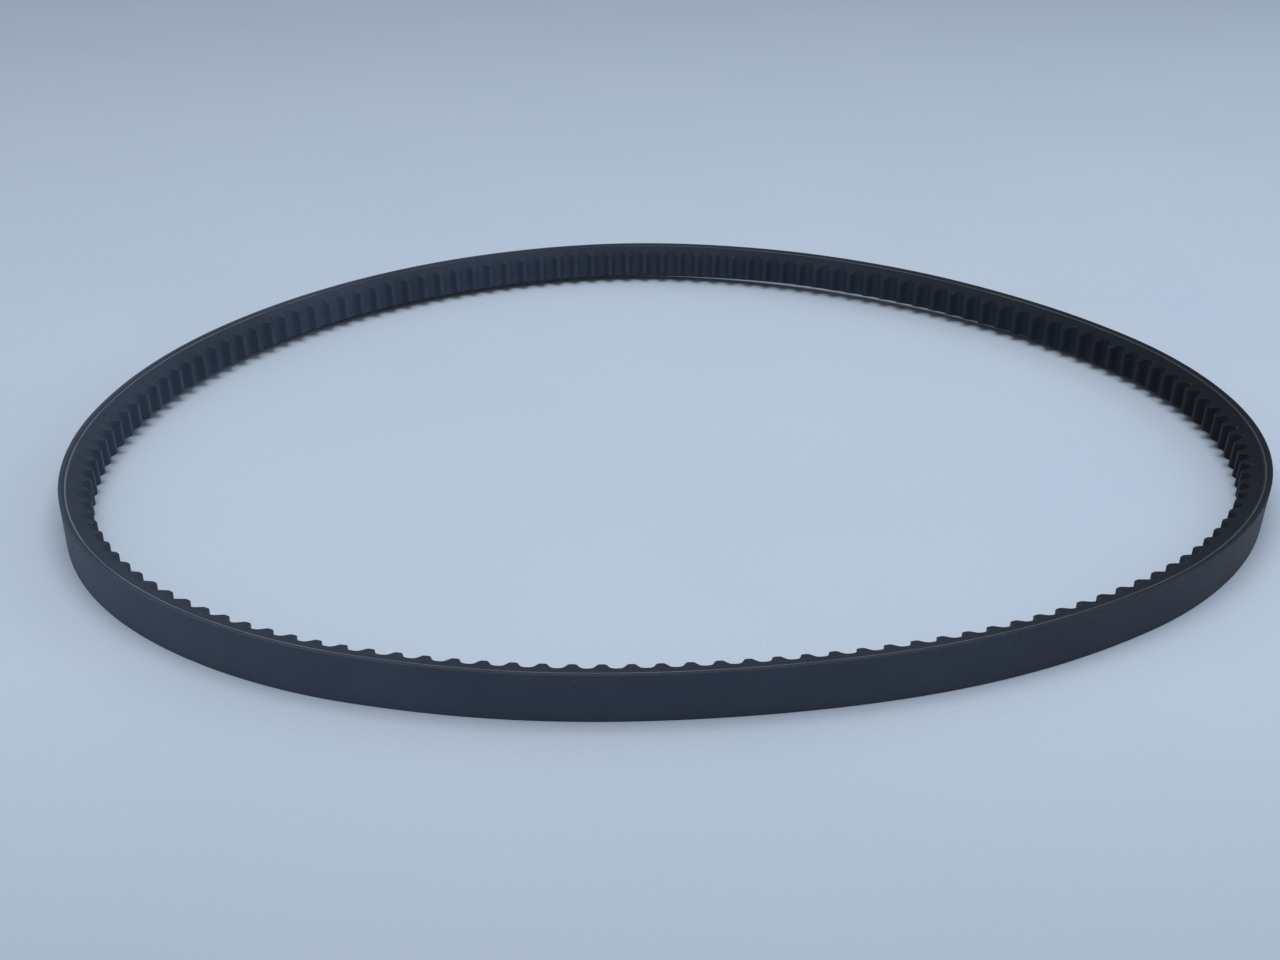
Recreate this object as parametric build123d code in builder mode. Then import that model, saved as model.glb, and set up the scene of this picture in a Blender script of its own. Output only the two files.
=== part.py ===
from build123d import *
import os
from dataclasses import dataclass
from math import cos, degrees, radians, sin, tan

os.makedirs("parts", exist_ok=True)

# Raw-edge, moulded-cog V-belt, at rest on its edge. The belt's width runs along +Z, the loop
# lies round the Z axis, and the origin is the middle of the loop on the surface it stands on.
# A "depth" is a distance inwards from the smooth back face. Sizes are in mm and degrees.

# Cross-section
TOP_WIDTH = 17.0
THICKNESS = 10.5
WEDGE_ANGLE = 38.0

# Layers, from the back face inwards
OUTER_PLY = 0.6
INNER_PLY = 0.5
OVERCORD = 0.7
CORD_DEPTH = 2.5
LOWER_ADHESION = 0.7
FACING = 0.4

# Tensile cord, wound side by side across the width. The end turns are cut open by the flanks.
CORD_DIAMETER = 1.1
CORD_TURNS = 12
CORD_SPACING = 1.33

# Cogs, moulded across the inside and spaced evenly along the cord line. The shift is how far
# along the cord line the first cog's middle is from the start of the loop.
COG_COUNT = 146
COG_SHIFT = -0.4
NOTCH_DEPTH = 3.8
CREST_FLAT = 2.3
COG_DRAFT = 24.0
CREST_RADIUS = 1.0
VALLEY_RADIUS = 2.0

# The unloaded loop is a slightly egg-shaped oval. Its back face is a closed chain of tangent
# arcs, each given by the angle it turns through and its radius. The two radii that are None are
# worked out so that the chain closes.
LOOP_TURNS = (33.0, 43.0, 65.0, 83.0, 47.0, 89.0)
LOOP_RADII = (276.0, None, 239.0, 160.0, None, 159.0)
START_HEADING = 123.0

# Construction allowance past a face that a cut or a trim has to clear
OVERCUT = 2.0

# Depths worked out from the layers
INNER_PLY_TOP = OUTER_PLY
OVERCORD_TOP = INNER_PLY_TOP + INNER_PLY
ADHESION_TOP = OVERCORD_TOP + OVERCORD
COMPRESSION_TOP = CORD_DEPTH + LOWER_ADHESION
VALLEY_DEPTH = THICKNESS - NOTCH_DEPTH
FLANK_SLOPE = tan(radians(WEDGE_ANGLE / 2))


@dataclass
class LoopArc:
    """One arc of the back face, run anticlockwise from its start point."""

    centre: Vector
    radius: float
    turn: float
    heading: float

    def point(self, along, depth):
        """The point some degrees along the arc and some depth inside the back face."""
        outward = radians(self.heading - 90 + along)
        reach = self.radius - depth
        return self.centre + Vector(cos(outward), sin(outward)) * reach

    @property
    def axis(self):
        return Axis(self.centre, (0, 0, 1))

    @property
    def section_plane(self):
        """Plane across the belt at the arc's start: local X is depth, local Y is height."""
        ahead = radians(self.heading)
        inward = (-sin(ahead), cos(ahead), 0)
        return Plane(self.point(0, 0), x_dir=inward, z_dir=(cos(ahead), sin(ahead), 0))

    def length(self, depth):
        return radians(self.turn) * (self.radius - depth)


def closing_radii():
    """Fill in the two open radii, so that the arcs' chords add up to nothing."""
    headings = [START_HEADING]
    for turn in LOOP_TURNS:
        headings.append(headings[-1] + turn)
    steps = []
    for first, last in zip(headings[:-1], headings[1:]):
        east = sin(radians(last)) - sin(radians(first))
        north = cos(radians(first)) - cos(radians(last))
        steps.append(Vector(east, north))
    gap = Vector(0, 0)
    for step, radius in zip(steps, LOOP_RADII):
        if radius is not None:
            gap -= step * radius
    one, other = [step for step, radius in zip(steps, LOOP_RADII) if radius is None]
    area = one.X * other.Y - one.Y * other.X
    solved = iter(
        (
            (gap.X * other.Y - gap.Y * other.X) / area,
            (one.X * gap.Y - one.Y * gap.X) / area,
        )
    )
    return [next(solved) if radius is None else radius for radius in LOOP_RADII]


def chain_of_arcs(start):
    """The loop's arcs, each starting where the one before it ends."""
    arcs = []
    heading = START_HEADING
    for turn, radius in zip(LOOP_TURNS, closing_radii()):
        left = radians(heading + 90)
        centre = start + Vector(cos(left), sin(left)) * radius
        arcs.append(LoopArc(centre, radius, turn, heading))
        start = arcs[-1].point(turn, 0)
        heading += turn
    return arcs


def centred_loop():
    """The chain of arcs, moved so that the middle of its box is the origin."""
    trial = chain_of_arcs(Vector(0, 0))
    with BuildLine() as outline:
        for arc in trial:
            half_way = arc.point(arc.turn / 2, 0)
            ThreePointArc(arc.point(0, 0), half_way, arc.point(arc.turn, 0))
    return chain_of_arcs(-outline.line.bounding_box().center())


LOOP = centred_loop()
CORD_LINE_LENGTH = sum(arc.length(CORD_DEPTH) for arc in LOOP)
COG_PITCH = CORD_LINE_LENGTH / COG_COUNT


def belt_point(distance, depth):
    """The plan point at a distance along the cord line and a depth inside the back face."""
    distance %= CORD_LINE_LENGTH
    for arc in LOOP:
        if distance <= arc.length(CORD_DEPTH):
            break
        distance -= arc.length(CORD_DEPTH)
    return arc.point(degrees(distance / (arc.radius - CORD_DEPTH)), depth)


def draw_wedge(top, bottom):
    """Draw the belt's tapered section between two depths."""
    Polygon(
        (top, top * FLANK_SLOPE),
        (bottom, bottom * FLANK_SLOPE),
        (bottom, TOP_WIDTH - bottom * FLANK_SLOPE),
        (top, TOP_WIDTH - top * FLANK_SLOPE),
        align=None,
    )


def cord_places():
    """Section positions of the cord's turns, centred on the belt's width."""
    first = TOP_WIDTH / 2 - CORD_SPACING * (CORD_TURNS - 1) / 2
    return [(CORD_DEPTH, first + CORD_SPACING * turn) for turn in range(CORD_TURNS)]


def layer_section(arc, top, bottom):
    """A plain layer's section at the start of an arc."""
    with BuildSketch(arc.section_plane) as section:
        draw_wedge(top, bottom)
    return section.sketch


def adhesion_section(arc, top, bottom):
    """An adhesion layer's section, with half a groove moulded round each turn of cord."""
    with BuildSketch(arc.section_plane) as section:
        draw_wedge(top, bottom)
        with Locations(*cord_places()):
            Circle(CORD_DIAMETER / 2, mode=Mode.SUBTRACT)
    return section.sketch


def cord_section(arc):
    """The cord's turns, with the end ones cut off along the flanks."""
    with BuildSketch(arc.section_plane) as section:
        with Locations(*cord_places()):
            Circle(CORD_DIAMETER / 2)
        with BuildSketch(arc.section_plane, mode=Mode.INTERSECT):
            draw_wedge(ADHESION_TOP, COMPRESSION_TOP)
    return section.sketch


def cog_corners(cog, skin):
    """A cog's sharp corners, valley middle to valley middle, a skin's thickness under its face."""
    slope = tan(radians(COG_DRAFT))
    narrower = skin * (1 / cos(radians(COG_DRAFT)) - slope)
    crest_half = CREST_FLAT / 2 - narrower
    root_half = crest_half + NOTCH_DEPTH * slope
    middle = cog * COG_PITCH + COG_SHIFT
    return (
        belt_point(middle - COG_PITCH / 2, VALLEY_DEPTH - skin),
        belt_point(middle - root_half, VALLEY_DEPTH - skin),
        belt_point(middle - crest_half, THICKNESS - skin),
        belt_point(middle + crest_half, THICKNESS - skin),
        belt_point(middle + root_half, VALLEY_DEPTH - skin),
        belt_point(middle + COG_PITCH / 2, VALLEY_DEPTH - skin),
    )


def cog_outline(skin):
    """The plan region that the cogs enclose, a skin's thickness under the cogged face."""
    valley = VALLEY_RADIUS + skin
    crest = CREST_RADIUS - skin
    with BuildSketch(Plane.XY.offset(-OVERCUT)) as region:
        with BuildLine():
            for cog in range(COG_COUNT):
                FilletPolyline(*cog_corners(cog, skin), radius=(valley, crest, crest, valley))
        make_face()
    return region.sketch


CUT_HEIGHT = TOP_WIDTH + 2 * OVERCUT
RUBBER_OUTLINE = cog_outline(FACING)

# Rubberised back fabric, outer ply
with BuildPart() as back_fabric_outer_ply:
    for arc in LOOP:
        revolve(layer_section(arc, 0, INNER_PLY_TOP), arc.axis, arc.turn)
back_fabric_outer_ply.part.label = "back_fabric_outer_ply"
export_step(back_fabric_outer_ply.part, "parts/back_fabric_outer_ply.step")

# Rubberised back fabric, inner ply
with BuildPart() as back_fabric_inner_ply:
    for arc in LOOP:
        revolve(layer_section(arc, INNER_PLY_TOP, OVERCORD_TOP), arc.axis, arc.turn)
back_fabric_inner_ply.part.label = "back_fabric_inner_ply"
export_step(back_fabric_inner_ply.part, "parts/back_fabric_inner_ply.step")

# Tension rubber between the fabric and the cord
with BuildPart() as overcord_rubber:
    for arc in LOOP:
        revolve(layer_section(arc, OVERCORD_TOP, ADHESION_TOP), arc.axis, arc.turn)
overcord_rubber.part.label = "overcord_rubber"
export_step(overcord_rubber.part, "parts/overcord_rubber.step")

# Adhesion rubber on the cord's outer side
with BuildPart() as upper_adhesion_rubber:
    for arc in LOOP:
        revolve(adhesion_section(arc, ADHESION_TOP, CORD_DEPTH), arc.axis, arc.turn)
upper_adhesion_rubber.part.label = "upper_adhesion_rubber"
export_step(upper_adhesion_rubber.part, "parts/upper_adhesion_rubber.step")

# Tensile cord, each turn a closed ring
with BuildPart() as tensile_cord:
    for arc in LOOP:
        revolve(cord_section(arc), arc.axis, arc.turn)
tensile_cord.part.label = "tensile_cord"
export_step(tensile_cord.part, "parts/tensile_cord.step")

# Adhesion rubber on the cord's inner side
with BuildPart() as lower_adhesion_rubber:
    for arc in LOOP:
        revolve(adhesion_section(arc, CORD_DEPTH, COMPRESSION_TOP), arc.axis, arc.turn)
lower_adhesion_rubber.part.label = "lower_adhesion_rubber"
export_step(lower_adhesion_rubber.part, "parts/lower_adhesion_rubber.step")

# Compression rubber, the cogged body of the belt
with BuildPart() as compression_rubber:
    for arc in LOOP:
        revolve(layer_section(arc, COMPRESSION_TOP, THICKNESS + OVERCUT), arc.axis, arc.turn)
    extrude(RUBBER_OUTLINE, CUT_HEIGHT, mode=Mode.SUBTRACT)
compression_rubber.part.label = "compression_rubber"
export_step(compression_rubber.part, "parts/compression_rubber.step")

# Facing fabric, moulded over the cogs and cut flush with the flanks
with BuildPart() as cog_facing_fabric:
    for arc in LOOP:
        revolve(layer_section(arc, COMPRESSION_TOP, THICKNESS + OVERCUT), arc.axis, arc.turn)
    extrude(RUBBER_OUTLINE, CUT_HEIGHT, mode=Mode.INTERSECT)
    extrude(cog_outline(0), CUT_HEIGHT, mode=Mode.SUBTRACT)
cog_facing_fabric.part.label = "cog_facing_fabric"
export_step(cog_facing_fabric.part, "parts/cog_facing_fabric.step")

back_length = sum(arc.length(0) for arc in LOOP)
inside_length = sum(arc.length(THICKNESS) for arc in LOOP)
print("back length", round(back_length, 1), "cord line", round(CORD_LINE_LENGTH, 1))
print("inside length", round(inside_length, 1), "cog pitch", round(COG_PITCH, 3))
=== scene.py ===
import math

import bpy
import numpy as np
from mathutils import Matrix, Vector


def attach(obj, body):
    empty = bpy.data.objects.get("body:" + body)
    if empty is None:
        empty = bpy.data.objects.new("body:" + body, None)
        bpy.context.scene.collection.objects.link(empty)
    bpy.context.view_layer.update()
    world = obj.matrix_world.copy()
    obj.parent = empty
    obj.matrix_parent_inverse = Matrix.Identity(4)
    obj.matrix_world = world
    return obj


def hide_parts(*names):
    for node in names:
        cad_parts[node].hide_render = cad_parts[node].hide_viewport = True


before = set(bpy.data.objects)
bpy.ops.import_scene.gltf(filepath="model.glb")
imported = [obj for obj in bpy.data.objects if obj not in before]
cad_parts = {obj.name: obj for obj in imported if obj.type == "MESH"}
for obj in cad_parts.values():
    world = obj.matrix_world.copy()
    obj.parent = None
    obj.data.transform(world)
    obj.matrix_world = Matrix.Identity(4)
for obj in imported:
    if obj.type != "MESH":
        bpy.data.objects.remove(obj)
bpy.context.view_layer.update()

# ---------------------------------------------------------------------------------------------
# Sizes, in millimetres and degrees. Meshes are turned into metres when they are made.
# "Distance" runs round the belt's cord line, "depth" goes inwards from the smooth back face,
# and "height" goes up across the belt's width.
# ---------------------------------------------------------------------------------------------
MM = 0.001
TOP_WIDTH = 17.0
THICKNESS = 10.5
WEDGE_ANGLE = 38.0
FLANK_SLOPE = math.tan(math.radians(WEDGE_ANGLE / 2))

OUTER_PLY_BOTTOM = 0.6
INNER_PLY_BOTTOM = 1.1
OVERCORD_BOTTOM = 1.8
CORD_DEPTH = 2.5
ADHESION_BOTTOM = 3.2
FACING = 0.4

# The cord is one helix. It runs out of a flank where it has climbed past it, so the light line
# that it leaves there is wide in some places and thin in others. It stands proud of the ground
# rubber by a hair, and it ends where the last share of its radius is past the flank.
CORD_RADIUS = 0.65
CORD_SPACING = 1.33
CORD_TURNS = 12
SPARE_TURNS = 1
CORD_PROUD = 0.03
CORD_START = 626.0
CORD_END = 0.998

# The bare line on a cut cord, as shares of the cut's half width: how far it is from the middle,
# towards the back, and how soon it fades into rubber that the grinding has smeared. The half
# width is never taken as less than the last value, as it comes down to nothing at the ends.
BARE_OFFSET = 0.38
BARE_FADE = 0.72
LEAST_CHORD = 0.001

# Radii of the long edges, and how close to a flank a point counts as on it
BACK_EDGE = 0.14
LAYER_EDGE = 0.02
CLOTH_EDGE = 0.12
FLANK_MARGIN = 0.03

# The cogs, moulded across the inside
COG_COUNT = 146
COG_SHIFT = -0.4
NOTCH_DEPTH = 3.8
CREST_FLAT = 2.3
COG_DRAFT = 24.0
CREST_RADIUS = 1.0
VALLEY_RADIUS = 2.0

# The relaxed loop: tangent arcs of the back face, by angle turned and radius. The two open
# radii are worked out so that the chain closes.
LOOP_TURNS = (33.0, 43.0, 65.0, 83.0, 47.0, 89.0)
LOOP_RADII = (276.0, None, 239.0, 160.0, None, 159.0)
START_HEADING = 123.0

# How the relaxed belt stands. It leans out at the top, by an angle that changes slowly round the
# loop: (distance, lean). It bulges out of the plain arcs in some places and falls inside them in
# others: (distance, bulge). Its line also wanders in and out a little in even waves, and one
# stretch of it is about a millimetre off the floor.
LEANS = (
    (0, 1.0), (120, -1.5), (240, 3.5), (420, 4.0), (540, 3.5), (690, 1.2), (880, 4.0),
    (1030, 1.6), (1190, 3.5),
)
BULGES = (
    (90, -0.2), (188, -2.75), (270, 0.6), (365, -0.55), (440, 0.1), (520, -0.2), (640, 0.3),
    (820, 0.0), (1035, 0.8), (1130, 0.1), (1241, 1.4),
)
WANDER = 0.5
WANDER_WAVES = 8
WANDER_PEAK = 27.0
LIFT = 1.05
LIFT_PLACE = 130.0
LIFT_LENGTH = 270.0

# How finely meshes are divided: stations round the loop, points round the cord, and for each kind
# of outline the steps in a rounded corner and its longest straight edge
LOOP_STATIONS = 1200
CORD_SIDES = 18
BAND_DIVISION = (5, 0.9)
COG_DIVISION = (7, 0.4)
CANVAS_DIVISION = (4, 0.8)
ARC_POINTS = 2000

# The camera. It looks along +Y, tilted down by its pitch and turned about its own axis by its
# roll, and sees nothing nearer than its clip start.
CAMERA_PLACE = (-12.3, -606.5, 283.8)
CAMERA_PITCH = 26.44
CAMERA_ROLL = 0.70
LENS = 47.05
SENSOR = 36.0
CLIP_START = 10.0


# ---------------------------------------------------------------------------------------------
# The loop
# ---------------------------------------------------------------------------------------------
def loop_arcs():
    """Centre, radius, turn and heading of each arc, with the loop's box centred on the origin."""
    turns = np.radians(LOOP_TURNS)
    headings = math.radians(START_HEADING) + np.concatenate([[0.0], np.cumsum(turns)])
    # Each arc's chord for a radius of one. With the right radii the chords add up to nothing.
    steps = np.stack(
        [np.sin(headings[1:]) - np.sin(headings[:-1]), np.cos(headings[:-1]) - np.cos(headings[1:])]
    )
    given = [i for i, radius in enumerate(LOOP_RADII) if radius is not None]
    solved = [i for i, radius in enumerate(LOOP_RADII) if radius is None]
    radii = np.zeros(len(turns))
    radii[given] = [LOOP_RADII[i] for i in given]
    radii[solved] = np.linalg.solve(steps[:, solved], -steps[:, given] @ radii[given])
    centres = []
    start = np.zeros(2)
    for radius, heading, step in zip(radii, headings, steps.T):
        centres.append(start + radius * np.array([-math.sin(heading), math.cos(heading)]))
        start = start + radius * step
    arcs = {"centre": np.array(centres), "radius": radii, "turn": turns, "heading": headings[:-1]}
    outline = back_line(arcs)
    arcs["centre"] -= (outline.min(0) + outline.max(0)) / 2
    return arcs


def back_line(arcs):
    """Close points along the back face, used to find the loop's box."""
    lines = []
    for centre, radius, turn, heading in zip(
        arcs["centre"], arcs["radius"], arcs["turn"], arcs["heading"]
    ):
        angle = heading - math.pi / 2 + np.linspace(0, turn, ARC_POINTS)
        lines.append(centre + radius * np.stack([np.cos(angle), np.sin(angle)], axis=1))
    return np.vstack(lines)


ARCS = loop_arcs()
ARC_LENGTHS = ARCS["turn"] * (ARCS["radius"] - CORD_DEPTH)
ARC_ENDS = np.cumsum(ARC_LENGTHS)
CORD_LINE = ARC_ENDS[-1]
COG_PITCH = CORD_LINE / COG_COUNT


def eased(along, listed):
    """A value at each distance, eased from one listed place to the next, right round the loop."""
    places, values = np.array(listed, float).T
    places = np.concatenate([[places[-1] - CORD_LINE], places, [places[0] + CORD_LINE]])
    values = np.concatenate([[values[-1]], values, [values[0]]])
    step = np.searchsorted(places, along, side="right") - 1
    share = (along - places[step]) / (places[step + 1] - places[step])
    ease = (1 - np.cos(math.pi * share)) / 2
    return values[step] + (values[step + 1] - values[step]) * ease


def lift_height(along):
    """How far the belt is off the floor: one smooth low arch."""
    share = np.clip(np.abs(along - LIFT_PLACE) / (LIFT_LENGTH / 2), 0, 1)
    return LIFT * np.cos(math.pi / 2 * share) ** 2


def stand(distance, depth, height):
    """Points of the standing belt, in metres, from distance, depth and height in millimetres."""
    distance, depth, height = np.broadcast_arrays(distance, depth, height)
    along = np.mod(distance, CORD_LINE)
    which = np.minimum(np.searchsorted(ARC_ENDS, along, side="right"), len(ARC_ENDS) - 1)
    into = along - (ARC_ENDS - ARC_LENGTHS)[which]
    facing = ARCS["heading"][which] - math.pi / 2 + into / (ARCS["radius"][which] - CORD_DEPTH)
    lean = np.radians(eased(along, LEANS))
    wander = WANDER * np.cos(WANDER_WAVES * 2 * math.pi * (along - WANDER_PEAK) / CORD_LINE)
    inwards = depth * np.cos(lean) - height * np.sin(lean) - wander - eased(along, BULGES)
    up = depth * np.sin(lean) + height * np.cos(lean) + lift_height(along)
    reach = ARCS["radius"][which] - inwards
    centre = ARCS["centre"][which]
    x = centre[..., 0] + reach * np.cos(facing)
    y = centre[..., 1] + reach * np.sin(facing)
    return np.stack([x, y, up], axis=-1) * MM


# ---------------------------------------------------------------------------------------------
# Outlines
# ---------------------------------------------------------------------------------------------
def corner_arc(before, corner, after, radius, steps):
    """Points of a fillet at a corner, from the edge before it to the edge after it."""
    corner = np.array(corner, float)
    back = np.array(before, float) - corner
    ahead = np.array(after, float) - corner
    back /= np.linalg.norm(back)
    ahead /= np.linalg.norm(ahead)
    half = math.acos(np.clip(back @ ahead, -1, 1)) / 2
    middle = (back + ahead) / np.linalg.norm(back + ahead)
    centre = corner + middle * radius / math.sin(half)
    first = corner + back * radius / math.tan(half) - centre
    last = corner + ahead * radius / math.tan(half) - centre
    sweep = math.pi - 2 * half
    sign = math.copysign(1, first[0] * last[1] - first[1] * last[0])
    points = []
    for step in range(steps + 1):
        angle = sign * sweep * step / steps
        turn = np.array([[math.cos(angle), -math.sin(angle)], [math.sin(angle), math.cos(angle)]])
        points.append(centre + turn @ first)
    return points


def rounded(corners, radii, steps, longest, closed=True):
    """An outline with its corners rounded and its straight edges divided."""
    count = len(corners)
    pieces = []
    for i, (corner, radius) in enumerate(zip(corners, radii)):
        if radius == 0:
            pieces.append([np.array(corner, float)])
        else:
            pieces.append(corner_arc(corners[i - 1], corner, corners[(i + 1) % count], radius, steps))
    points = []
    for i, piece in enumerate(pieces):
        points.extend(piece)
        if i == count - 1 and not closed:
            break
        start, end = piece[-1], pieces[(i + 1) % count][0]
        parts = max(1, math.ceil(np.linalg.norm(end - start) / longest))
        for part in range(1, parts):
            points.append(start + (end - start) * part / parts)
    return np.array(points)


def band_outline(top, bottom, outer_edge, inner_edge):
    """A layer's tapered section as (depth, height) points, with its corners rounded."""
    corners = (
        (top, top * FLANK_SLOPE),
        (bottom, bottom * FLANK_SLOPE),
        (bottom, TOP_WIDTH - bottom * FLANK_SLOPE),
        (top, TOP_WIDTH - top * FLANK_SLOPE),
    )
    return rounded(corners, (outer_edge, inner_edge, inner_edge, outer_edge), *BAND_DIVISION)


def cog_profile(skin):
    """One cog as (distance, depth) points, from one valley's middle to just before the next."""
    slope = math.tan(math.radians(COG_DRAFT))
    crest_half = CREST_FLAT / 2 - skin * (1 / math.cos(math.radians(COG_DRAFT)) - slope)
    root_half = crest_half + NOTCH_DEPTH * slope
    valley = THICKNESS - NOTCH_DEPTH - skin
    crest = THICKNESS - skin
    corners = (
        (-COG_PITCH / 2, valley),
        (-root_half, valley),
        (-crest_half, crest),
        (crest_half, crest),
        (root_half, valley),
        (COG_PITCH / 2, valley),
    )
    root_radius, crest_radius = VALLEY_RADIUS + skin, CREST_RADIUS - skin
    radii = (0, root_radius, crest_radius, crest_radius, root_radius, 0)
    return rounded(corners, radii, *COG_DIVISION, closed=False)[:-1]


# ---------------------------------------------------------------------------------------------
# Meshes
# ---------------------------------------------------------------------------------------------
def new_object(name, data):
    """An object in the scene, made from a mesh, a light or a camera."""
    made = bpy.data.objects.new(name, data)
    bpy.context.scene.collection.objects.link(made)
    return made


def tube_quads(stations, around, closed):
    """Station and section numbers of each quad's corners, on a grid that closes round its section.

    With closed, the last station joins the first as well."""
    rows = stations if closed else stations - 1
    i, j = np.meshgrid(np.arange(rows), np.arange(around), indexing="ij")
    i_next, j_next = (i + 1) % stations, (j + 1) % around
    return np.stack([i, i_next, i_next, i]), np.stack([j, j, j_next, j_next])


def grid_mesh(name, points, uv_corners, closed, extra_faces=()):
    """A smooth mesh from a grid of points, with the belt's own UV map."""
    stations, around = points.shape[:2]
    i, j = tube_quads(stations, around, closed)
    quads = np.moveaxis(i * around + j, 0, -1).reshape(-1, 4)
    mesh = bpy.data.meshes.new(name)
    mesh.from_pydata(points.reshape(-1, 3).tolist(), [], quads.tolist() + list(extra_faces))
    spare = sum(len(face) for face in extra_faces)
    uv_values = np.concatenate([uv_corners.reshape(-1, 2), np.zeros((spare, 2))]) * MM
    mesh.uv_layers.new(name="belt").data.foreach_set("uv", uv_values.astype(np.float32).ravel())
    mesh.polygons.foreach_set("use_smooth", np.ones(len(mesh.polygons), bool))
    mesh.update()
    return mesh


def ring_mesh(name, distance, depth, height, lengthways):
    """A closed ring. The arrays are (stations, points round the section), in millimetres.

    The UV map holds the distance round the belt and the distance round the section."""
    stations, around = depth.shape
    steps = np.hypot(
        np.diff(depth, axis=1, append=depth[:, :1]), np.diff(height, axis=1, append=height[:, :1])
    )
    v_end = np.cumsum(steps, axis=1)
    u_here = np.broadcast_to(lengthways[:, None], depth.shape)
    u_next = u_here + np.diff(lengthways, append=lengthways[0] + CORD_LINE)[:, None]
    u = np.stack([u_here, u_next, u_next, u_here], axis=-1)
    v = np.stack([v_end - steps, v_end - steps, v_end, v_end], axis=-1)
    return grid_mesh(name, stand(distance, depth, height), np.stack([u, v], axis=-1), closed=True)


def mark_points(mesh, name, values):
    """Keep a number from 0 to 1 on each point, for the materials to read."""
    attribute = mesh.attributes.new(name, "FLOAT", "POINT")
    attribute.data.foreach_set("value", values.astype(np.float32).ravel())


def band(name, top, bottom, outer_edge=LAYER_EDGE):
    """A plain layer of the belt, which knows where it lies on a flank."""
    outline = band_outline(top, bottom, outer_edge, LAYER_EDGE)
    lengthways = np.linspace(0, CORD_LINE, LOOP_STATIONS, endpoint=False)
    depth = np.broadcast_to(outline[:, 0], (LOOP_STATIONS, len(outline)))
    height = np.broadcast_to(outline[:, 1], (LOOP_STATIONS, len(outline)))
    mesh = ring_mesh(name, lengthways[:, None], depth, height, lengthways)
    from_middle = np.abs(height - TOP_WIDTH / 2)
    mark_points(mesh, "flank", from_middle > TOP_WIDTH / 2 - depth * FLANK_SLOPE - FLANK_MARGIN)
    return new_object(name, mesh)


def cog_stations(skin):
    """Distance and depth of the cogged face's stations, right round the belt."""
    profile = cog_profile(skin)
    middles = COG_SHIFT + np.arange(COG_COUNT) * COG_PITCH
    distance = (middles[:, None] + profile[:, 0]).ravel()
    return distance, np.tile(profile[:, 1], COG_COUNT)


def cogged_rubber(name):
    """The compression rubber: its inner side follows the cogs, a facing's thickness under them."""
    distance, inner = cog_stations(FACING)
    # The section at a crest, as shares of its depth and width, squeezed to each station's depth
    full = THICKNESS - FACING
    outline = band_outline(ADHESION_BOTTOM, full, LAYER_EDGE, LAYER_EDGE)
    inwards = (outline[:, 0] - ADHESION_BOTTOM) / (full - ADHESION_BOTTOM)
    across = (outline[:, 1] - TOP_WIDTH / 2) / (TOP_WIDTH / 2 - outline[:, 0] * FLANK_SLOPE)
    depth = ADHESION_BOTTOM + inwards * (inner[:, None] - ADHESION_BOTTOM)
    height = TOP_WIDTH / 2 + across * (TOP_WIDTH / 2 - depth * FLANK_SLOPE)
    return new_object(name, ring_mesh(name, distance[:, None], depth, height, distance))


def cog_canvas(name):
    """The facing fabric: a skin over the cogs, cut off along the flanks with a softened edge."""
    outer_distance, outer_depth = cog_stations(0)
    inner_distance, inner_depth = cog_stations(FACING)
    half_crest = TOP_WIDTH / 2 - THICKNESS * FLANK_SLOPE
    corners = ((0, -half_crest), (FACING, -half_crest), (FACING, half_crest), (0, half_crest))
    outline = rounded(corners, (0, CLOTH_EDGE, CLOTH_EDGE, 0), *CANVAS_DIVISION)
    share = outline[:, 0] / FACING
    depth = inner_depth[:, None] + share * (outer_depth - inner_depth)[:, None]
    distance = inner_distance[:, None] + share * (outer_distance - inner_distance)[:, None]
    # The softened edge keeps its distance from the flank, and the rest is spread between the flanks
    half = TOP_WIDTH / 2 - depth * FLANK_SLOPE
    from_flank = half_crest - np.abs(outline[:, 1])
    near_flank = from_flank <= CLOTH_EDGE
    at_flank = np.sign(outline[:, 1]) * (half - from_flank)
    spread = np.where(near_flank, at_flank, outline[:, 1] / half_crest * half)
    mesh = ring_mesh(name, distance, depth, TOP_WIDTH / 2 + spread, outer_distance)
    raised = (outer_depth - outer_depth.min()) / NOTCH_DEPTH
    mark_points(mesh, "raised", np.broadcast_to(raised[:, None], depth.shape))
    mark_points(mesh, "cut_edge", np.broadcast_to(near_flank, depth.shape))
    return new_object(name, mesh)


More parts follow.
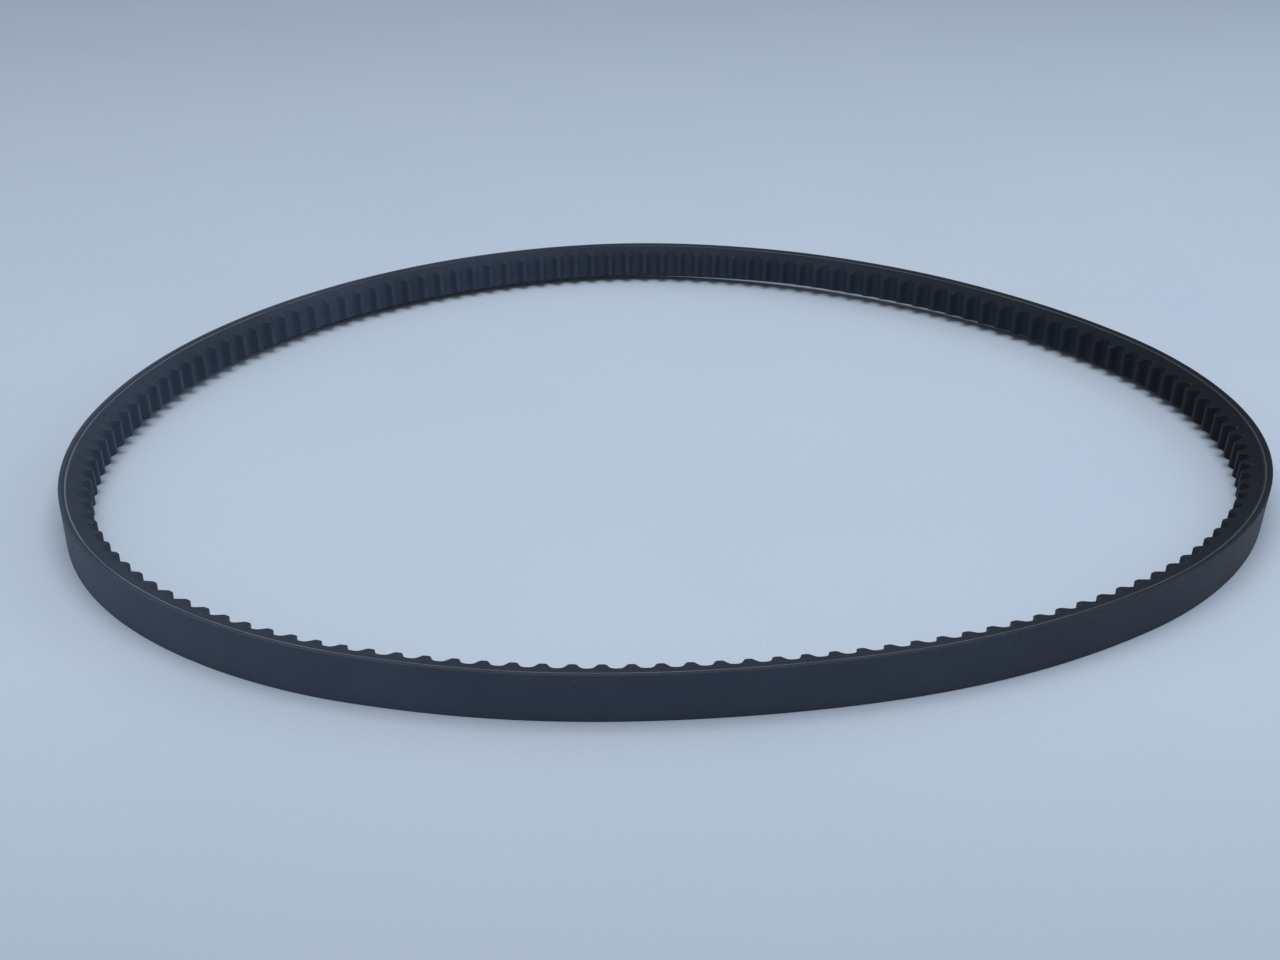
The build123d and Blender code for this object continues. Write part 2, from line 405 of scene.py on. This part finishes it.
def winding(name):
    """The tensile cord: one helix across the belt, ground off where it runs out of the flanks.

    It starts with spare turns at each flank, and what is past the flank is cut off. It knows
    how bare of smeared rubber each of its points is."""
    turns = CORD_TURNS + 2 * SPARE_TURNS
    along = np.linspace(0, turns * CORD_LINE, turns * LOOP_STATIONS)
    climb = CORD_SPACING * ((along - CORD_START) / CORD_LINE - (turns - 1) / 2)
    reach = TOP_WIDTH / 2 - CORD_DEPTH * FLANK_SLOPE + CORD_PROUD
    left = np.abs(climb) < reach + CORD_RADIUS * CORD_END
    along, climb = along[left], climb[left, None]
    # How far the cord's middle is past the flank, and half the width of the cut through it there
    beyond = np.clip(np.abs(climb) - reach, 0, CORD_RADIUS)
    half_chord = np.sqrt(CORD_RADIUS**2 - beyond**2)
    angle = np.linspace(0, 2 * math.pi, CORD_SIDES, endpoint=False)
    across = climb + CORD_RADIUS * np.sin(angle)
    inwards = -CORD_RADIUS * np.cos(angle) + 0 * climb
    # Points past the flank are brought back to it, and to the width of the cut
    ground = np.abs(across) > reach
    inwards = np.where(ground, np.clip(inwards, -half_chord, half_chord), inwards)
    limit = reach - inwards * FLANK_SLOPE
    across = np.where(ground, np.sign(climb) * limit, np.clip(across, -limit, limit))
    i, j = tube_quads(len(along), CORD_SIDES, closed=False)
    side = 2 * math.pi * CORD_RADIUS / CORD_SIDES
    v = np.stack([j[0], j[0], j[0] + 1, j[0] + 1], axis=-1) * side
    uv_corners = np.stack([np.moveaxis(along[i], 0, -1), v], axis=-1)
    last = (len(along) - 1) * CORD_SIDES
    caps = [list(range(CORD_SIDES)), list(range(last, last + CORD_SIDES))[::-1]]
    points = stand(along[:, None], CORD_DEPTH + inwards, TOP_WIDTH / 2 + across)
    mesh = grid_mesh(name, points, uv_corners, closed=False, extra_faces=caps)
    from_line = np.abs(inwards / np.maximum(half_chord, LEAST_CHORD) + BARE_OFFSET)
    mark_points(mesh, "bare", np.clip(1 - from_line / BARE_FADE, 0, 1))
    return new_object(name, mesh)


# ---------------------------------------------------------------------------------------------
# Materials. Scales and stretches are in features per metre, threads and bump depths in
# millimetres, and colours in linear light.
# ---------------------------------------------------------------------------------------------
# A wave texture's phase is this many radians for each unit of its scaled coordinate
WAVE_RADIANS = 20.0

CORD_TWIST = 0.9
SHEEN_ROUGHNESS = 0.45

# Painted light towards one end of the loop: where along X it starts and is full, in metres
END_LIGHT_COLOUR = (0.080, 0.106, 0.168)
END_LIGHT_SPAN = (0.22, -0.19)
END_LIGHT_POWER = 0.8


class Nodes:
    """Short helper for building a material's node tree."""

    def __init__(self, name, base_roughness, specular, sheen=0.0):
        self.material = bpy.data.materials.new(name)
        self.material.use_nodes = True
        self.tree = self.material.node_tree
        self.shader = self.tree.nodes["Principled BSDF"]
        self.shader.inputs["Roughness"].default_value = base_roughness
        self.shader.inputs["Specular IOR Level"].default_value = specular
        self.shader.inputs["Sheen Weight"].default_value = sheen
        self.shader.inputs["Sheen Roughness"].default_value = SHEEN_ROUGHNESS

    def add(self, kind, **settings):
        """A new node of a kind, with its settings."""
        node = self.tree.nodes.new("ShaderNode" + kind)
        for key, value in settings.items():
            setattr(node, key, value)
        return node

    def link(self, source, target):
        self.tree.links.new(source, target)

    def math(self, operation, first, second, clamp=False):
        """One sum, from sockets or plain numbers."""
        node = self.add("Math", operation=operation, use_clamp=clamp)
        for slot, value in enumerate((first, second)):
            if isinstance(value, (int, float)):
                node.inputs[slot].default_value = value
            else:
                self.link(value, node.inputs[slot])
        return node.outputs[0]

    def noise(self, coordinates, scale, detail=4.0, roughness=0.55):
        """Smooth noise, mostly between 0.25 and 0.75."""
        node = self.add("TexNoise")
        node.inputs["Scale"].default_value = scale
        node.inputs["Detail"].default_value = detail
        node.inputs["Roughness"].default_value = roughness
        self.link(coordinates, node.inputs["Vector"])
        return node.outputs["Fac"]

    def wave(self, period, turn, distortion=0.0):
        """Even waves over the belt's UV map, repeating at a period, laid at an angle to it."""
        node = self.add("TexWave", wave_type="BANDS", bands_direction="X", wave_profile="SIN")
        node.inputs["Scale"].default_value = 2 * math.pi / (WAVE_RADIANS * period * MM)
        node.inputs["Distortion"].default_value = distortion
        self.link(self.belt_uv(turn=turn), node.inputs["Vector"])
        return node.outputs["Fac"]

    def mark(self, name):
        """A number that the mesh keeps on its points."""
        return self.add("Attribute", attribute_name=name).outputs["Fac"]

    def place(self, axis):
        """A coordinate along one of the belt's own axes, in metres."""
        node = self.add("SeparateXYZ")
        self.link(self.solid(), node.inputs[0])
        return node.outputs[axis]

    def belt_uv(self, stretch=(1, 1, 1), turn=0.0):
        """The distance round the belt and round its section, in metres, stretched and turned."""
        uv = self.add("UVMap", uv_map="belt")
        mapping = self.add("Mapping")
        mapping.inputs["Scale"].default_value = stretch
        mapping.inputs["Rotation"].default_value = (0, 0, math.radians(turn))
        self.link(uv.outputs[0], mapping.inputs["Vector"])
        return mapping.outputs[0]

    def solid(self):
        """Places along the belt's own axes, in metres."""
        return self.add("TexCoord").outputs["Object"]

    def ramp(self, value, low, high, at_low=0.0, at_high=1.0):
        """A value mapped evenly between what it is at low and at high, and level past them."""
        node = self.add("MapRange", clamp=True)
        node.inputs["From Min"].default_value = low
        node.inputs["From Max"].default_value = high
        node.inputs["To Min"].default_value = at_low
        node.inputs["To Max"].default_value = at_high
        self.link(value, node.inputs["Value"])
        return node.outputs["Result"]

    def mix(self, amount, first, second):
        """The first colour, turned into the second by an amount."""
        node = self.add("Mix", data_type="RGBA")
        self.link(amount, node.inputs["Factor"])
        # A Mix node has an A and a B for each kind of data: these are its colours
        for slot, value in (("A", first), ("B", second)):
            socket = [s for s in node.inputs if s.name == slot and s.type == "RGBA"][0]
            if isinstance(value, tuple):
                socket.default_value = (*value, 1)
            else:
                self.link(value, socket)
        return [s for s in node.outputs if s.type == "RGBA"][0]

    def finish(self, colour, roughness=None, bumps=()):
        """Link up the shader. Each bump is a height from 0 to 1 and its depth in millimetres."""
        self.link(colour, self.shader.inputs["Base Color"])
        if roughness is not None:
            self.link(roughness, self.shader.inputs["Roughness"])
        normal = None
        for height, depth in bumps:
            bump = self.add("Bump")
            bump.inputs["Strength"].default_value = 1.0
            bump.inputs["Distance"].default_value = depth * MM
            self.link(height, bump.inputs["Height"])
            if normal is not None:
                self.link(normal, bump.inputs["Normal"])
            normal = bump.outputs["Normal"]
        if normal is not None:
            self.link(normal, self.shader.inputs["Normal"])
        return self.material


def specks(n, coordinates, scale, size, share):
    """A mask of sparse lint specks: small dots in a share of the cells."""
    cells = n.add("TexVoronoi", feature="F1")
    cells.inputs["Scale"].default_value = scale
    n.link(coordinates, cells.inputs["Vector"])
    near = n.ramp(cells.outputs["Distance"], size, size * 0.5)
    parts = n.add("SeparateColor")
    n.link(cells.outputs["Color"], parts.inputs[0])
    chosen = n.math("GREATER_THAN", parts.outputs[0], 1 - share)
    return n.math("MULTIPLY", near, chosen)


def weave(n, thread, turn):
    """Height of a plain weave with threads of one width, laid at an angle to the belt."""
    warp, weft = n.wave(thread, turn), n.wave(thread, turn + 90)
    checker = n.add("TexChecker")
    checker.inputs["Scale"].default_value = 1.0 / (thread * MM)
    n.link(n.belt_uv(turn=turn), checker.inputs["Vector"])
    warp_on_top = n.math("MULTIPLY", warp, checker.outputs["Fac"])
    weft_on_top = n.math("MULTIPLY", weft, n.math("SUBTRACT", 1.0, checker.outputs["Fac"]))
    return n.math("ADD", warp_on_top, weft_on_top)


def towards_lit_end(n):
    """A number that rises from 0 at the loop's dimly lit end to 1 at the end with the most painted
    light.
    """
    return n.math("POWER", n.ramp(n.place("X"), *END_LIGHT_SPAN), END_LIGHT_POWER)


def painted_end_light(n, colour, strength=0.55):
    """Painted light: a faint bluish lightening of the colour, heavier round one end of the loop and
    patchy.
    """
    patches = n.ramp(n.noise(n.solid(), 14, detail=3), 0.25, 0.75, 0.6, 1.0)
    amount = n.math("MULTIPLY", n.math("MULTIPLY", towards_lit_end(n), patches), strength, clamp=True)
    return n.mix(amount, colour, END_LIGHT_COLOUR)


def back_cloth_material():
    """Rubber-soaked bias cloth: dark blue-black, matte, threads just showing, darker where cut."""
    n = Nodes("rubberised_back_cloth", base_roughness=0.64, specular=0.28, sheen=0.04)
    threads = weave(n, thread=0.42, turn=58)
    broad = n.noise(n.solid(), 38, detail=3)
    fine = n.noise(n.solid(), 900, detail=3)
    between, on_thread, worn = (0.014, 0.017, 0.027), (0.023, 0.027, 0.040), (0.033, 0.038, 0.054)
    cut, dust = (0.006, 0.009, 0.012), (0.22, 0.24, 0.25)
    colour = n.mix(n.ramp(threads, 0.1, 0.9), between, on_thread)
    colour = n.mix(n.ramp(broad, 0.35, 0.7, 0.0, 0.5), colour, worn)
    flank = n.mark("flank")
    colour = n.mix(n.math("MULTIPLY", flank, 0.9), colour, cut)
    # Painted light, lightening the cloth towards one end of the loop
    colour = painted_end_light(n, colour, 0.78)
    dots = specks(n, n.solid(), scale=260, size=0.12, share=0.03)
    colour = n.mix(n.math("MULTIPLY", dots, 0.3), colour, dust)
    roughness = n.math("ADD", n.ramp(fine, 0.3, 0.7, 0.50, 0.68), n.math("MULTIPLY", flank, 0.2))
    showing = n.math("MULTIPLY", threads, n.ramp(flank, 0.0, 1.0, 1.0, 0.25))
    return n.finish(colour, roughness, [(showing, 0.05), (fine, 0.03)])


def ground_rubber_material(name, dark, light):
    """A ground rubber flank: fine lengthways grinding marks and cut fibre ends."""
    n = Nodes(name, base_roughness=0.76, specular=0.15, sheen=0.02)
    marks = n.noise(n.belt_uv(stretch=(60, 3800, 1)), 1.0, detail=3)
    fine = n.noise(n.solid(), 1300, detail=3)
    broad = n.noise(n.solid(), 60, detail=3)
    colour = n.mix(n.ramp(marks, 0.35, 0.68), dark, light)
    colour = n.mix(n.ramp(broad, 0.4, 0.75, 0.0, 0.4), colour, light)
    # Painted light, lightening the rubber towards one end of the loop
    colour = painted_end_light(n, colour)
    fibre = (0.13, 0.14, 0.14)
    ends = specks(n, n.solid(), scale=1500, size=0.26, share=0.12)
    colour = n.mix(n.math("MULTIPLY", ends, 0.3), colour, fibre)
    roughness = n.ramp(fine, 0.3, 0.7, 0.64, 0.82)
    return n.finish(colour, roughness, [(marks, 0.05), (fine, 0.04)])


def cord_material():
    """Cut polyester cord: dull pale grey, twisted, smeared with rubber by the grinding."""
    n = Nodes("polyester_cord", base_roughness=0.8, specular=0.3)
    twist = n.wave(CORD_TWIST, turn=35, distortion=1.5)
    fray = n.noise(n.belt_uv(stretch=(900, 3000, 1)), 1.0, detail=4)
    smear = n.noise(n.solid(), 45, detail=5, roughness=0.65)
    strand_dark, strand_light, frayed = (0.19, 0.195, 0.185), (0.30, 0.305, 0.285), (0.35, 0.35, 0.325)
    smeared, end_shade, rubber = (0.040, 0.046, 0.052), (0.040, 0.046, 0.048), (0.014, 0.019, 0.025)
    ragged = n.math("ADD", n.mark("bare"), n.ramp(fray, 0.3, 0.7, -0.15, 0.15))
    colour = n.mix(twist, strand_dark, strand_light)
    colour = n.mix(n.ramp(fray, 0.45, 0.7, 0.0, 0.6), colour, frayed)
    colour = n.mix(n.ramp(smear, 0.42, 0.64, 0.0, 0.55), colour, smeared)
    # Painted shade, darkening the cord towards the loop's dimly lit end
    colour = n.mix(n.ramp(towards_lit_end(n), 0.0, 0.8, 0.85, 0.0), colour, end_shade)
    colour = n.mix(n.ramp(ragged, 0.25, 0.6), rubber, colour)
    # Painted light, lightening the cord towards the other end
    colour = painted_end_light(n, colour, 0.5)
    return n.finish(colour, None, [(twist, 0.08), (fray, 0.06)])


def canvas_material():
    """Facing cloth over the cogs: dark, with painted light in the valleys and on the crests, frayed
    where cut.
    """
    n = Nodes("cog_canvas", base_roughness=0.62, specular=0.19, sheen=0.02)
    threads = weave(n, thread=0.5, turn=45)
    fine = n.noise(n.solid(), 1000, detail=3)
    broad = n.noise(n.solid(), 70, detail=3)
    fray = n.noise(n.solid(), 380, detail=3)
    raised, cut_edge = n.mark("raised"), n.mark("cut_edge")
    between, on_thread, worn = (0.006, 0.007, 0.010), (0.011, 0.012, 0.017), (0.016, 0.018, 0.025)
    crest_highlight_colour, cut, thread_ends = (0.105, 0.108, 0.125), (0.005, 0.006, 0.009), (0.13, 0.13, 0.125)
    dust = (0.2, 0.21, 0.2)
    colour = n.mix(n.ramp(threads, 0.1, 0.9), between, on_thread)
    colour = n.mix(n.ramp(broad, 0.4, 0.72, 0.0, 0.5), colour, worn)
    # Painted light, heavier in the valleys to lift the shade that falls there, and towards one end of
    # the loop
    colour = painted_end_light(n, colour, n.ramp(raised, 0.1, 0.95, 1.05, 0.62))
    # Painted highlight along the crests' flats, strongest at the loop's brightly lit end
    crest_highlight = n.math("MULTIPLY", n.ramp(raised, 0.985, 1.0), n.ramp(broad, 0.3, 0.62, 0.2, 1.0))
    crest_highlight = n.math("MULTIPLY", crest_highlight, towards_lit_end(n))
    colour = n.mix(n.math("MULTIPLY", crest_highlight, 0.3), colour, crest_highlight_colour)
    colour = n.mix(n.math("MULTIPLY", cut_edge, 0.7), colour, cut)
    frayed = n.math("MULTIPLY", cut_edge, n.ramp(fray, 0.56, 0.68, 0.0, 0.45))
    colour = n.mix(frayed, colour, thread_ends)
    dots = specks(n, n.solid(), scale=420, size=0.2, share=0.05)
    colour = n.mix(n.math("MULTIPLY", dots, 0.4), colour, dust)
    roughness = n.ramp(fine, 0.3, 0.7, 0.46, 0.64)
    return n.finish(colour, roughness, [(threads, 0.06), (fine, 0.03)])


# ---------------------------------------------------------------------------------------------
# Pieces: each stands for one CAD node
# ---------------------------------------------------------------------------------------------
def fit_out(piece, node, material):
    """Give a piece its material, and put it in place of a CAD node."""
    piece.data.materials.append(material)
    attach(piece, "root")
    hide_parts(node)


BACK_CLOTH = back_cloth_material()
TENSION_RUBBER = ground_rubber_material(
    "tension_rubber", dark=(0.007, 0.011, 0.013), light=(0.014, 0.019, 0.022)
)
ADHESION_RUBBER = ground_rubber_material(
    "adhesion_rubber", dark=(0.006, 0.008, 0.012), light=(0.012, 0.015, 0.020)
)
BODY_RUBBER = ground_rubber_material(
    "compression_rubber", dark=(0.004, 0.005, 0.009), light=(0.011, 0.013, 0.019)
)
CORD = cord_material()
CANVAS = canvas_material()

fit_out(
    band("back_cloth_outer", 0.0, OUTER_PLY_BOTTOM, outer_edge=BACK_EDGE),
    "back_fabric_outer_ply", BACK_CLOTH,
)
fit_out(
    band("back_cloth_inner", OUTER_PLY_BOTTOM, INNER_PLY_BOTTOM),
    "back_fabric_inner_ply", BACK_CLOTH,
)
fit_out(
    band("tension_band", INNER_PLY_BOTTOM, OVERCORD_BOTTOM),
    "overcord_rubber", TENSION_RUBBER,
)
fit_out(
    band("adhesion_band_outer", OVERCORD_BOTTOM, CORD_DEPTH),
    "upper_adhesion_rubber", ADHESION_RUBBER,
)
fit_out(
    band("adhesion_band_inner", CORD_DEPTH, ADHESION_BOTTOM),
    "lower_adhesion_rubber", ADHESION_RUBBER,
)
fit_out(winding("cord_winding"), "tensile_cord", CORD)
fit_out(cogged_rubber("cogged_body"), "compression_rubber", BODY_RUBBER)
fit_out(cog_canvas("cog_canvas"), "cog_facing_fabric", CANVAS)


# ---------------------------------------------------------------------------------------------
# Floor, light and camera. The floor and the lights are in metres and watts.
# ---------------------------------------------------------------------------------------------
# Half the floor's side, so wide that its edge is all but on the horizon, and where along Y the
# painted shade on the floor in front starts and is darkest
FLOOR_HALF = 60.0
FRONT_SHADE_SPAN = (-0.17, -0.34)
FRONT_SHADE_SHARE = 0.85

SKY_COLOUR = (0.80, 0.89, 1.0)
SKY_STRENGTH = 0.33


def pale_floor():
    """A wide plain floor, pale and slightly blue, with a faint cloth grain and painted shade in front.
    """
    mesh = bpy.data.meshes.new("floor")
    corners = [(x * FLOOR_HALF, y * FLOOR_HALF, 0) for x, y in ((-1, -1), (1, -1), (1, 1), (-1, 1))]
    mesh.from_pydata(corners, [], [(0, 1, 2, 3)])
    floor = new_object("floor", mesh)
    n = Nodes("pale_floor", base_roughness=0.9, specular=0.2)
    grain = n.noise(n.solid(), 700, detail=3)
    mottle = n.noise(n.solid(), 9, detail=4)
    grain_dark, grain_light = (0.69, 0.77, 0.88), (0.73, 0.81, 0.92)
    patch, painted_front_shade = (0.66, 0.75, 0.88), (0.55, 0.61, 0.71)
    colour = n.mix(n.ramp(grain, 0.3, 0.7), grain_dark, grain_light)
    colour = n.mix(n.ramp(mottle, 0.35, 0.65, 0.0, 0.35), colour, patch)
    # Painted shade, darkening the floor towards the front
    colour = n.mix(n.ramp(n.place("Y"), *FRONT_SHADE_SPAN, 0.0, FRONT_SHADE_SHARE), colour, painted_front_shade)
    mesh.materials.append(n.finish(colour, None, [(grain, 0.05)]))


def soft_box(name, place, aim, width, depth, power, colour):
    """A rectangular soft light at a place, turned to face another."""
    light = bpy.data.lights.new(name, "AREA")
    light.shape = "RECTANGLE"
    light.size, light.size_y = width, depth
    light.energy = power
    light.color = colour
    box = new_object(name, light)
    box.location = place
    box.rotation_euler = (Vector(aim) - Vector(place)).to_track_quat("-Z", "Y").to_euler()


def soft_light():
    """A pale sky, a broad soft box overhead and a lower one like a window on the right."""
    world = bpy.data.worlds.new("sky")
    world.use_nodes = True
    background = world.node_tree.nodes["Background"]
    background.inputs["Color"].default_value = (*SKY_COLOUR, 1)
    background.inputs["Strength"].default_value = SKY_STRENGTH
    bpy.context.scene.world = world
    soft_box(
        "overhead", place=(-0.05, -0.24, 1.3), aim=(-0.05, -0.04, 0),
        width=1.25, depth=1.25, power=9.1, colour=(0.93, 0.96, 1.0),
    )
    soft_box(
        "window", place=(1.15, 0.35, 0.65), aim=(0, 0, 0),
        width=1.0, depth=0.7, power=2.2, colour=(0.80, 0.90, 1.0),
    )


def photo_camera():
    """The camera at the photograph's viewing angle."""
    data = bpy.data.cameras.new("camera")
    data.sensor_width = SENSOR
    data.lens = LENS
    data.clip_start = CLIP_START * MM
    camera = new_object("camera", data)
    place = Matrix.Translation([value * MM for value in CAMERA_PLACE])
    tilt = Matrix.Rotation(math.radians(90 - CAMERA_PITCH), 4, "X")
    roll = Matrix.Rotation(math.radians(CAMERA_ROLL), 4, "Z")
    camera.matrix_world = place @ tilt @ roll
    bpy.context.scene.camera = camera


pale_floor()
soft_light()
photo_camera()
bpy.context.scene.view_settings.view_transform = "Standard"
